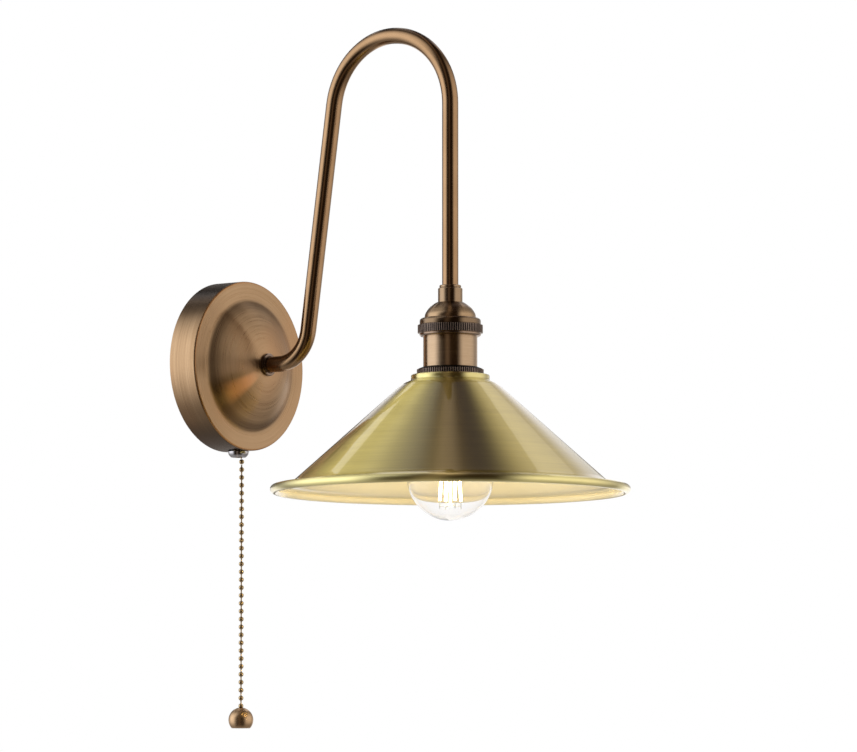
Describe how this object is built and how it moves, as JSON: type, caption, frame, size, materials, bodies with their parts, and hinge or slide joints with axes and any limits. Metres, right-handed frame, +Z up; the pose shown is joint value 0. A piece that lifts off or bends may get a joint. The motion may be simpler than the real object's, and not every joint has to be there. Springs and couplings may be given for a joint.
{
  "type": "swan-neck wall light",
  "caption": "Wall light with a round dished wall cover, swan-neck tube arm, lampholder with knurled rings, conical metal shade, clear filament lamp and ball-chain pull switch.",
  "frame": {"origin": "centre of the wall screw pattern in the back plane, on the wall", "axes": "+Y into the wall, +Z up, the arm and lampholder lie in the plane X = 0 and stand out along -Y"},
  "size_m": [0.248, 0.3267, 0.4855],
  "materials": {
    "bronze_brushed": "antique bronze plate, finely brushed, lacquered",
    "bronze_knurl": "dark antique bronze plate, knurled",
    "bronze_chain": "antique bronze plate, worn bright on the high spots",
    "shade_brass": "aged satin brass, spun and lacquered",
    "chrome_bright": "polished nickel plate",
    "steel_zinc": "zinc plated pressed steel",
    "brass_plain": "plain machined brass",
    "copper_spring": "phosphor bronze strip",
    "nylon_white": "natural nylon",
    "plastic_black": "moulded phenolic",
    "pvc_brown": "PVC core insulation, brown",
    "pvc_blue": "PVC core insulation, blue",
    "pvc_green_yellow": "PVC core insulation, green with yellow stripe",
    "pvc_sheath": "PVC flex sheath, white",
    "porcelain": "unglazed porcelain",
    "glass_clear": "clear blown glass",
    "glass_black": "black vitrite",
    "nickel_cap": "nickel plated thin sheet",
    "solder": "solder dome",
    "pcb_green": "lacquered circuit board",
    "filament_glow": "phosphor coated filament stick, lit"
  },
  "bodies": {
    "wall_unit": {"backplate_cover": "bronze_brushed", "wall_bracket": "steel_zinc", "cover_catch": "steel_zinc", "cover_screw": "bronze_knurl", "bracket_nut": "steel_zinc", "terminal_block": "nylon_white", "terminal_inserts": "brass_plain", "terminal_screws": "steel_zinc", "terminal_block_screw": "steel_zinc", "earth_screw": "brass_plain", "earth_lug": "brass_plain", "swan_neck_arm": "bronze_brushed", "arm_collar": "bronze_knurl", "arm_nipple": "brass_plain", "arm_washer": "steel_zinc", "arm_locknut": "brass_plain", "nipple_bush": "plastic_black", "arm_flex": "pvc_sheath", "wires_brown": "pvc_brown", "wires_blue": "pvc_blue", "wires_green_yellow": "pvc_green_yellow", "switch_housing": "plastic_black", "switch_lid": "plastic_black", "switch_lid_screws": "steel_zinc", "switch_bush": "brass_plain", "switch_inner_nut": "brass_plain", "switch_collar": "chrome_bright", "switch_pivot_pin": "steel_zinc", "switch_contacts": "copper_spring", "switch_spring": "steel_zinc", "holder_entry_bush": "bronze_brushed", "holder_grub_screw": "bronze_knurl", "holder_cap": "bronze_brushed", "holder_locknut": "brass_plain", "holder_cap_ring": "bronze_knurl", "holder_skirt": "bronze_brushed", "holder_core": "porcelain", "holder_clamps": "brass_plain", "holder_clamp_screws": "steel_zinc", "holder_thread_shell": "nickel_cap", "holder_centre_contact": "copper_spring", "shade_ring_upper": "bronze_knurl", "shade": "shade_brass"},
    "switch_lever": {"switch_lever": "steel_zinc"},
    "switch_rotor": {"switch_rotor": "nylon_white"},
    "chain_lead": {"chain_lead": "bronze_chain"},
    "chain_top_link": {"chain_top_link": "bronze_chain"},
    "pull_chain": {"pull_chain": "bronze_chain", "pull_ball": "bronze_brushed"},
    "lamp": {"lamp_glass": "glass_clear", "lamp_cap": "nickel_cap", "lamp_cap_insulator": "glass_black", "lamp_tip": "solder", "lamp_driver": "pcb_green", "lamp_stem": "glass_clear", "lamp_filaments": "filament_glow", "lamp_wires": "steel_zinc"},
    "shade_ring_lower": {"shade_ring_lower": "bronze_knurl"}
  },
  "joints": [
    {"name": "pull_travel", "type": "slide", "parent": "wall_unit", "child": "chain_lead", "axis": [0, 0, -1], "range_m": [0, 0.005], "stiffness_N_per_m": 500, "springref_m": -0.003},
    {"name": "lever_turn", "type": "hinge", "parent": "wall_unit", "child": "switch_lever", "pos_m": [-0.009, -0.0129, -0.046], "axis": [0, 1, 0], "range_deg": [0, 29.5]},
    {"name": "rotor_turn", "type": "hinge", "parent": "wall_unit", "child": "switch_rotor", "pos_m": [-0.009, -0.01, -0.046], "axis": [0, 1, 0], "continuous": true},
    {"name": "chain_swing_side", "type": "hinge", "parent": "chain_lead", "child": "chain_top_link", "pos_m": [0.0009, -0.0151, -0.0675], "axis": [0, 1, 0], "range_deg": [-45, 45]},
    {"name": "chain_swing_front", "type": "hinge", "parent": "chain_top_link", "child": "pull_chain", "pos_m": [0.0009, -0.0151, -0.0675], "axis": [1, 0, 0], "range_deg": [-45, 1.8]},
    {"name": "lamp_withdraw", "type": "slide", "parent": "wall_unit", "child": "lamp", "axis": [0, 0, -1], "range_m": [0, 0.03]},
    {"name": "lower_ring_turn", "type": "hinge", "parent": "wall_unit", "child": "shade_ring_lower", "pos_m": [0, -0.2027, -0.0196], "axis": [0, 0, 1], "continuous": true}
  ],
  "couplings": [
    {"joint": "lever_turn", "follows": "pull_travel", "rad_per_m": 100}
  ]
}
